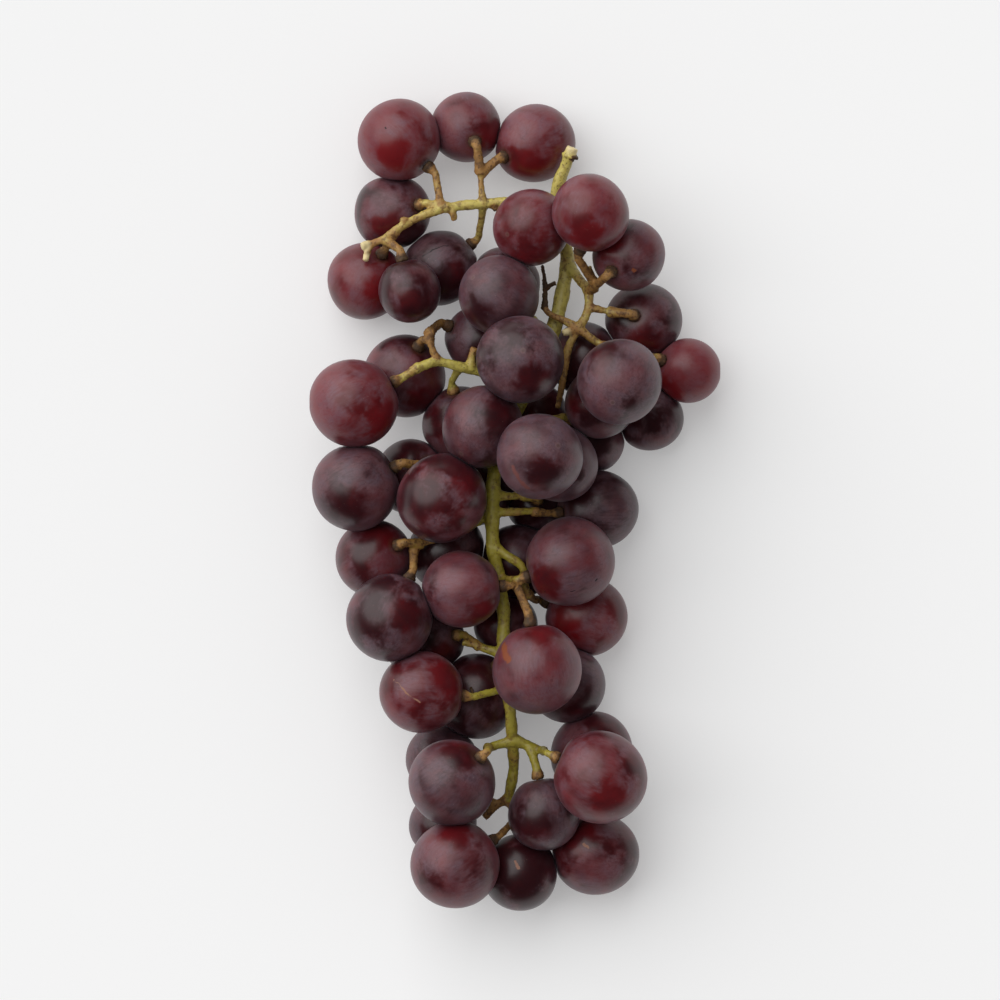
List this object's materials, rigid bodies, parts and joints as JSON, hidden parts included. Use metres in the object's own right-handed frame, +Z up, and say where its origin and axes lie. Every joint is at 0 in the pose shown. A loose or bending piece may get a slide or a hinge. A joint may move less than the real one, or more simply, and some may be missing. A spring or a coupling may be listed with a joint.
{
  "type": "bunch of grapes",
  "caption": "Bunch of dark red table grapes, picked and lying on its side: bloomed wine-red berries on a yellow-green branching stem.",
  "frame": {"origin": "on the table under the middle of the bunch's box", "axes": "+X to the right and +Y towards the cut end of the stalk as the picture shows it from above, +Z up"},
  "size_m": [0.1072, 0.2145, 0.0534],
  "materials": {
    "berry_skin": "smooth fruit skin, glossy under a pale matt bloom",
    "stem_bark": "matt green stalk with brown blotches"
  },
  "bodies": {
    "root": {"berries": "berry_skin", "stem": "stem_bark"}
  },
  "joints": []
}
